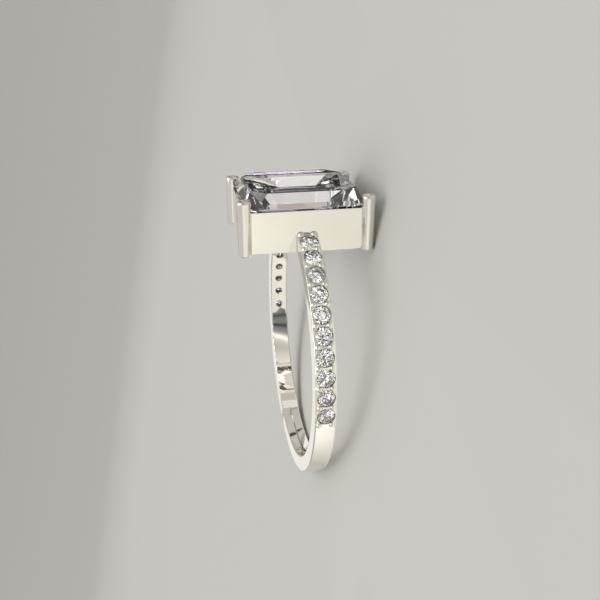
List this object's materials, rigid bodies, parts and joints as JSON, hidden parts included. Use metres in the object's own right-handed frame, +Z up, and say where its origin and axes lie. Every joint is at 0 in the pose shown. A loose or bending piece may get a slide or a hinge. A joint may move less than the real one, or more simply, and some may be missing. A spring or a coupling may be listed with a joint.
{
  "type": "adjustable ring",
  "caption": "Polished finger ring with an open box head holding a step-cut stone between corner posts, claw-set stones down both shoulders and a split shank that bends to size.",
  "frame": {"origin": "middle of the lying ring's outline, on the surface it rests on", "axes": "+X from the bottom of the shank towards the head, +Y towards the ring's far shoulder, +Z up"},
  "size_m": [0.022, 0.0198, 0.0096],
  "materials": {
    "metal": "mirror-polished warm white metal",
    "centre_stone": "clear colourless faceted stone",
    "side_stones": "clear faceted stones, slightly grey"
  },
  "bodies": {
    "root": {"ring_metal": "metal", "centre_stone": "centre_stone", "side_stone_near_01": "side_stones", "side_stone_near_02": "side_stones", "side_stone_near_03": "side_stones", "side_stone_near_04": "side_stones", "side_stone_near_05": "side_stones", "side_stone_near_06": "side_stones", "side_stone_near_07": "side_stones", "side_stone_near_08": "side_stones", "side_stone_near_09": "side_stones", "side_stone_near_10": "side_stones", "side_stone_far_01": "side_stones", "side_stone_far_02": "side_stones", "side_stone_far_03": "side_stones", "side_stone_far_04": "side_stones", "side_stone_far_05": "side_stones", "side_stone_far_06": "side_stones", "side_stone_far_07": "side_stones", "side_stone_far_08": "side_stones", "side_stone_far_09": "side_stones", "side_stone_far_10": "side_stones"}
  },
  "joints": []
}
